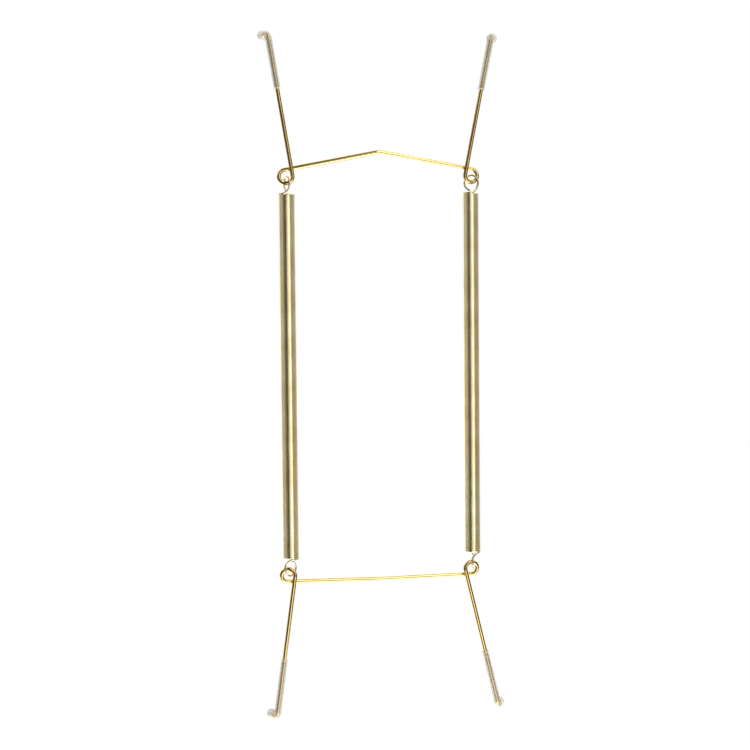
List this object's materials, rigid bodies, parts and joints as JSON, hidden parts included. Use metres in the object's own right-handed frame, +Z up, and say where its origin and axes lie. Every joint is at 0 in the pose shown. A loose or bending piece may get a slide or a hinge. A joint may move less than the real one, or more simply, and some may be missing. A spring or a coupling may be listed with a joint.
{
  "type": "wire plate hanger",
  "caption": "Spring plate hanger: bent brass-plated wire frames with sleeved hooks grip a plate's rim, drawn together by long coil springs; the upper frame's peak hangs on a nail.",
  "frame": {"origin": "underside of the upper wire's peak, where the nail bears", "axes": "+Z up as hung, +X across the plate, +Y from the wall side towards the plate, the way the hook legs point"},
  "size_m": [0.1132, 0.0143, 0.3152],
  "materials": {
    "brass_wire": "polished plating",
    "brass_spring": "polished plating",
    "clear_vinyl": "clear, slightly milky"
  },
  "bodies": {
    "upper_frame": {"upper_wire": "brass_wire", "upper_left_sleeve": "clear_vinyl", "upper_right_sleeve": "clear_vinyl"},
    "springs": {"left_spring": "brass_spring", "right_spring": "brass_spring"},
    "lower_frame": {"lower_wire": "brass_wire", "lower_left_sleeve": "clear_vinyl", "lower_right_sleeve": "clear_vinyl"}
  },
  "joints": [
    {"name": "spring_swing", "type": "hinge", "parent": "upper_frame", "child": "springs", "pos_m": [0, -0.00105, -0.01146], "axis": [1, 0, 0], "range_deg": [-25, 25]},
    {"name": "spring_stretch", "type": "slide", "parent": "springs", "child": "lower_frame", "axis": [0, 0, -1], "range_m": [0, 0.19], "stiffness_N_per_m": 220, "deforming": ["left_spring", "right_spring"]}
  ]
}
